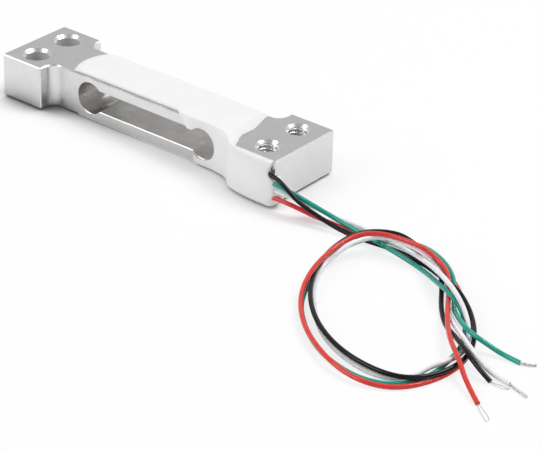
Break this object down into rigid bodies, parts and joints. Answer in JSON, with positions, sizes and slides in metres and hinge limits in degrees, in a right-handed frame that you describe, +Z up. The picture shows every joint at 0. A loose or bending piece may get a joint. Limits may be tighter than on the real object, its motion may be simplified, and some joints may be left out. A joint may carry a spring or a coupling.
{
  "type": "weighing load cell",
  "caption": "Small bending-beam load cell: metal bar with a dog-bone slot, screw holes in both end blocks, white potting over the gauges and loose curled wires.",
  "frame": {"origin": "under the middle of everything but the wires, on the surface that it lies on", "axes": "+X along the beam towards the wired end, +Z up out of the gauged top face"},
  "size_m": [0.0956, 0.0377, 0.0068],
  "materials": {
    "aluminium": "milled, lightly etched, matt silver",
    "gauge_film": "thin amber polyimide film",
    "gauge_foil": "etched constantan foil",
    "board": "thin glass-fibre board with green resist",
    "copper": "plated copper pad",
    "tin": "tinned copper and solder",
    "silicone": "white silicone, soft satin skin",
    "black_insulation": "extruded, slightly glossy",
    "green_insulation": "extruded, slightly glossy",
    "white_insulation": "extruded, slightly glossy",
    "red_insulation": "extruded, slightly glossy"
  },
  "bodies": {
    "root": {"beam": "aluminium", "gauge_carrier_top_left": "gauge_film", "gauge_carrier_top_right": "gauge_film", "gauge_carrier_bottom_left": "gauge_film", "gauge_carrier_bottom_right": "gauge_film", "gauge_grid_top_left": "gauge_foil", "gauge_grid_top_right": "gauge_foil", "gauge_grid_bottom_left": "gauge_foil", "gauge_grid_bottom_right": "gauge_foil", "terminal_board": "board", "terminal_pads": "copper", "solder_joints": "tin", "silicone_main": "silicone", "silicone_underside": "silicone", "wire_black": "black_insulation", "wire_green": "green_insulation", "wire_white": "white_insulation", "wire_red": "red_insulation", "tip_black": "tin", "tip_green": "tin", "tip_white": "tin", "tip_red": "tin"}
  },
  "joints": []
}
